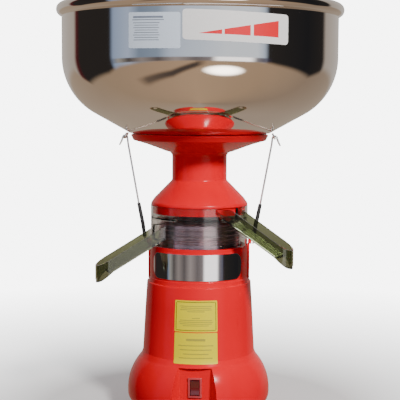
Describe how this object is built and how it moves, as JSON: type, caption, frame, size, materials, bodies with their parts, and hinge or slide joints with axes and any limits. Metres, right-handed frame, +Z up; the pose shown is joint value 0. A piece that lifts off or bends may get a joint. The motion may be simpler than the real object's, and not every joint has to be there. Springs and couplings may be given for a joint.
{
  "type": "cream separator",
  "caption": "Electric table-top cream separator: motor base, disc drum, two clear receivers with spouts, float chamber stand and a round steel milk bowl.",
  "frame": {"origin": "centre of the plane under the four feet, on the drum's axis", "axes": "+Z up along the drum's axis, -Y towards the switch panel and the user, +X towards the cream spout"},
  "size_m": [0.3608, 0.3608, 0.518],
  "materials": {
    "red_plastic": "glossy moulded",
    "black_plastic": "matte moulded",
    "dark_red_plastic": "glossy, slightly translucent",
    "rubber": "matte",
    "chrome_plate": "mirror polished",
    "aluminium": "turned and polished",
    "iron": "pressed laminations",
    "copper": "enamelled copper wire",
    "carbon": "pressed carbon",
    "steel": "polished stainless steel",
    "clear_plastic": "clear moulded, slightly smoky",
    "white_plastic": "satin moulded"
  },
  "bodies": {
    "housing": {"motor_housing": "red_plastic", "base_plate": "black_plastic", "foot_1": "rubber", "foot_2": "rubber", "foot_3": "rubber", "foot_4": "rubber", "switch_frame": "dark_red_plastic", "cable_gland": "black_plastic", "badge_plate": "chrome_plate", "motor_upper_bracket": "aluminium", "motor_lower_bracket": "aluminium", "stator_core": "iron", "field_coil_front": "copper", "field_coil_rear": "copper", "brush_left": "carbon", "brush_right": "carbon", "upper_bearing": "steel", "lower_bearing": "steel", "shaft_seal": "rubber", "rubber_mount_1": "rubber", "rubber_mount_2": "rubber", "rubber_mount_3": "rubber"},
    "rotor": {"rotor_shaft": "steel", "armature_core": "iron", "armature_winding_upper": "copper", "armature_winding_lower": "copper", "commutator": "copper", "cooling_fan": "black_plastic", "drum_base": "aluminium", "drum_seal": "rubber", "drum_cover": "aluminium", "drum_nut": "steel", "disc_carrier": "white_plastic", "disc_01": "steel", "disc_02": "steel", "disc_03": "steel", "disc_04": "steel", "disc_05": "steel", "disc_06": "steel", "disc_07": "steel", "disc_08": "steel", "separating_disc": "steel"},
    "rocker": {"switch_rocker": "dark_red_plastic"},
    "skim_receiver": {"skim_receiver": "clear_plastic"},
    "cream_receiver": {"cream_receiver": "clear_plastic"},
    "float_stand": {"float_stand": "red_plastic", "float_cup": "white_plastic"},
    "float": {"float": "white_plastic"},
    "bowl": {"milk_bowl": "steel", "bowl_outlet": "white_plastic", "outlet_nut": "white_plastic", "latch_eyelet_left": "steel", "latch_eyelet_right": "steel"},
    "tap": {"tap_plug": "white_plastic", "tap_lever": "red_plastic"},
    "latch_left": {"latch_wire_left": "steel", "latch_grip_left": "rubber"},
    "latch_right": {"latch_wire_right": "steel", "latch_grip_right": "rubber"}
  },
  "joints": [
    {"name": "rotor_spin", "type": "hinge", "parent": "housing", "child": "rotor", "pos_m": [0, 0, 0.15], "axis": [0, 0, 1], "continuous": true},
    {"name": "switch_rock", "type": "hinge", "parent": "housing", "child": "rocker", "pos_m": [0, -0.0705, 0.045], "axis": [-1, 0, 0], "range_deg": [0, 14]},
    {"name": "skim_receiver_lift", "type": "slide", "parent": "housing", "child": "skim_receiver", "axis": [0, 0, 1], "range_m": [0, 0.1]},
    {"name": "cream_receiver_lift", "type": "slide", "parent": "skim_receiver", "child": "cream_receiver", "axis": [0, 0, 1], "range_m": [0, 0.06]},
    {"name": "float_stand_lift", "type": "slide", "parent": "cream_receiver", "child": "float_stand", "axis": [0, 0, 1], "range_m": [0, 0.06]},
    {"name": "float_rise", "type": "slide", "parent": "float_stand", "child": "float", "axis": [0, 0, 1], "range_m": [0, 0.007]},
    {"name": "bowl_lift", "type": "slide", "parent": "float_stand", "child": "bowl", "axis": [0, 0, 1], "range_m": [0, 0.025]},
    {"name": "tap_turn", "type": "hinge", "parent": "bowl", "child": "tap", "pos_m": [0, 0, 0.36], "axis": [0, 0, 1], "range_deg": [0, 38]},
    {"name": "latch_left_swing", "type": "hinge", "parent": "bowl", "child": "latch_left", "pos_m": [-0.0955, 0, 0.3505], "axis": [0, 1, 0], "range_deg": [0, 60]},
    {"name": "latch_right_swing", "type": "hinge", "parent": "bowl", "child": "latch_right", "pos_m": [0.0955, 0, 0.3505], "axis": [0, -1, 0], "range_deg": [0, 60]}
  ]
}
